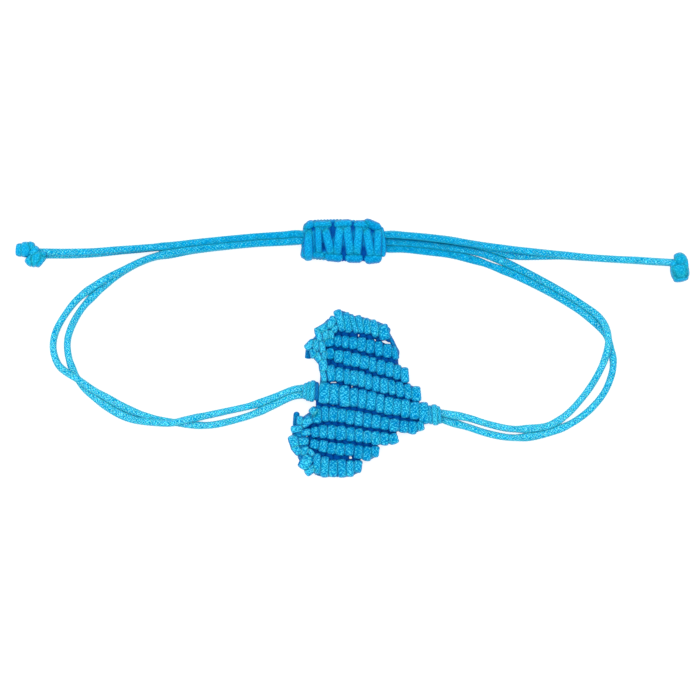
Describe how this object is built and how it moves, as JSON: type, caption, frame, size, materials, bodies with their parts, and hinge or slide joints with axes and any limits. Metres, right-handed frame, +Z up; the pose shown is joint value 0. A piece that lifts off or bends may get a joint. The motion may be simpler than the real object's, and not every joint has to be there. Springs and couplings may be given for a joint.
{
  "type": "macrame heart bracelet",
  "caption": "Braided cord bracelet with a woven heart, a sliding square-knot closure and knotted tails, lying flat in a loop.",
  "frame": {"origin": "on the surface that the bracelet lies on, under the middle of the woven pieces: the heart, its two wrapped knots and the sliding knot", "axes": "+Z up from the surface, +X along the bracelet towards the heart's tip and the right tail, +Y from the heart towards the sliding knot"},
  "size_m": [0.0841, 0.0326, 0.003],
  "materials": {
    "braided_cord": "bright azure nylon cord, finely braided, with a soft shine",
    "hitched_knotwork": "the same cord drawn tight in hitches and square knots, with deep blue grooves"
  },
  "bodies": {
    "root": {"heart_panel": "hitched_knotwork", "cleft_knot": "hitched_knotwork", "tip_knot": "hitched_knotwork", "upper_stub": "braided_cord", "lower_stub": "braided_cord", "left_cord_1": "braided_cord", "left_cord_2": "braided_cord", "right_cord_1": "braided_cord", "right_cord_2": "braided_cord", "sliding_knot": "hitched_knotwork", "left_end_knot": "braided_cord", "right_end_knot": "braided_cord"}
  },
  "joints": []
}
